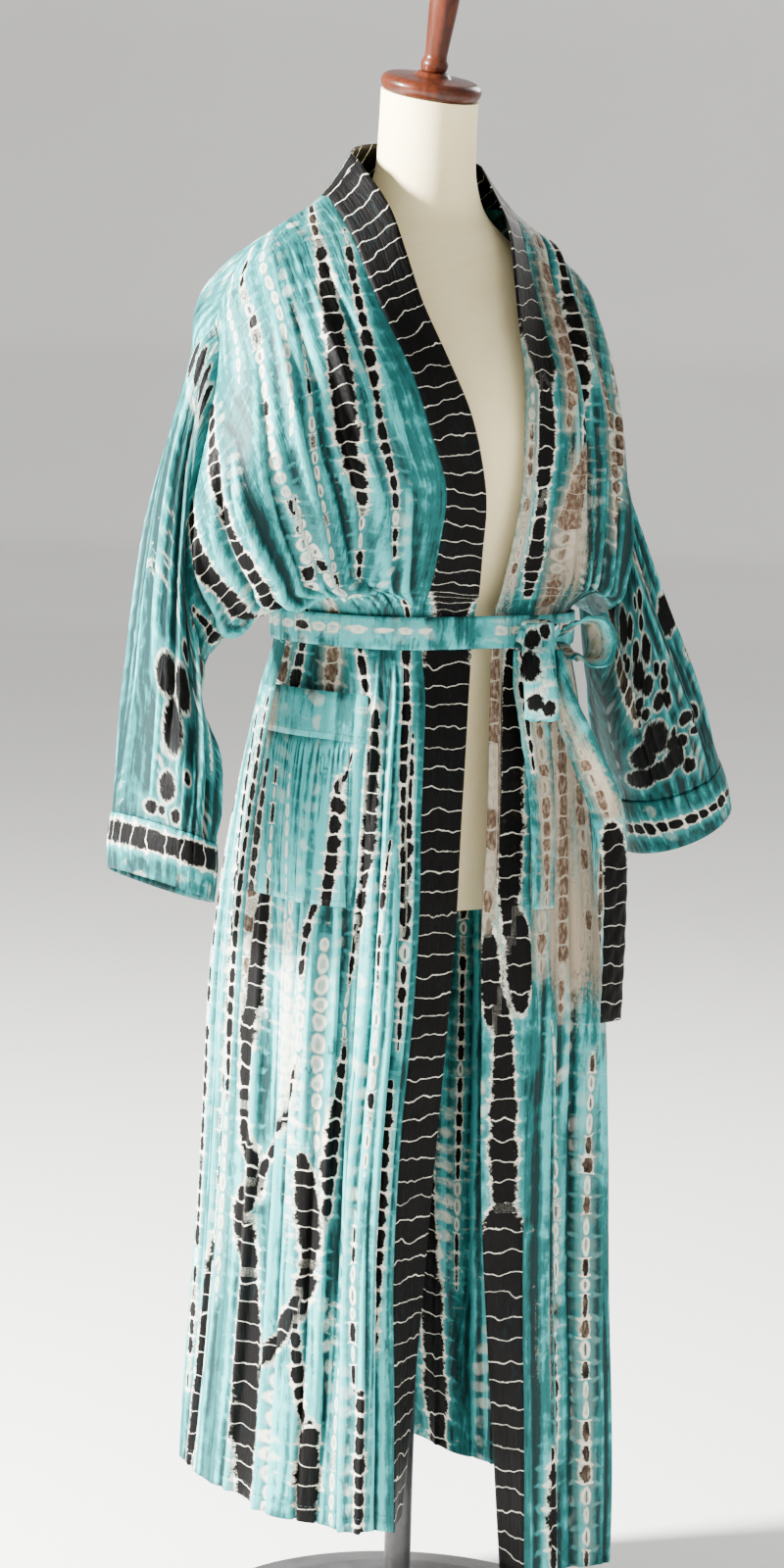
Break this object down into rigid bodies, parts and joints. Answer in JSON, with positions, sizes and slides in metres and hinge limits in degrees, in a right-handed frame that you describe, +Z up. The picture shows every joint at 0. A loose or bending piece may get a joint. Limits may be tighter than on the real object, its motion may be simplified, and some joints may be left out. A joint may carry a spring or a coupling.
{
  "type": "kimono duster on a dress form",
  "caption": "Long open robe with dropped wide sleeves, front bands, patch pockets and a tied belt, worn by a limbless dress form with a turned neck cap and finial on a round stand.",
  "frame": {"origin": "where the stand's vertical axis meets the floor", "axes": "+Z up along the stand, the wearer faces -Y, the wearer's left is +X"},
  "size_m": [0.7093, 0.4, 1.6718],
  "materials": {
    "back": "crinkled woven cloth",
    "front_right": "crinkled woven cloth",
    "front_left": "crinkled woven cloth",
    "sleeve_right": "crinkled woven cloth",
    "sleeve_left": "crinkled woven cloth",
    "cuff_right": "crinkled woven cloth",
    "cuff_left": "crinkled woven cloth",
    "band_right": "crinkled woven cloth",
    "band_left": "crinkled woven cloth",
    "band_neck": "crinkled woven cloth",
    "pocket_right": "crinkled woven cloth",
    "pocket_right_band": "crinkled woven cloth",
    "pocket_left": "crinkled woven cloth",
    "pocket_left_band": "crinkled woven cloth",
    "belt_wrap": "crinkled woven cloth",
    "belt_knot": "crinkled woven cloth",
    "bow_loop_front": "crinkled woven cloth",
    "bow_loop_side": "crinkled woven cloth",
    "belt_tail_front": "crinkled woven cloth",
    "belt_tail_side": "crinkled woven cloth",
    "belt_carrier_right": "twisted thread",
    "belt_carrier_left": "twisted thread",
    "form_torso": "cream jersey cover",
    "neck_cap": "reddish-brown gloss varnish",
    "finial": "reddish-brown gloss varnish",
    "stand_pole": "black satin paint",
    "stand_base": "black satin paint"
  },
  "bodies": {
    "root": {"back": "back", "front_right": "front_right", "front_left": "front_left", "sleeve_right": "sleeve_right", "sleeve_left": "sleeve_left", "cuff_right": "cuff_right", "cuff_left": "cuff_left", "band_right": "band_right", "band_left": "band_left", "band_neck": "band_neck", "pocket_right": "pocket_right", "pocket_right_band": "pocket_right_band", "pocket_left": "pocket_left", "pocket_left_band": "pocket_left_band", "belt_wrap": "belt_wrap", "belt_knot": "belt_knot", "bow_loop_front": "bow_loop_front", "bow_loop_side": "bow_loop_side", "belt_tail_front": "belt_tail_front", "belt_tail_side": "belt_tail_side", "belt_carrier_right": "belt_carrier_right", "belt_carrier_left": "belt_carrier_left", "form_torso": "form_torso", "neck_cap": "neck_cap", "finial": "finial", "stand_pole": "stand_pole", "stand_base": "stand_base"}
  },
  "joints": []
}
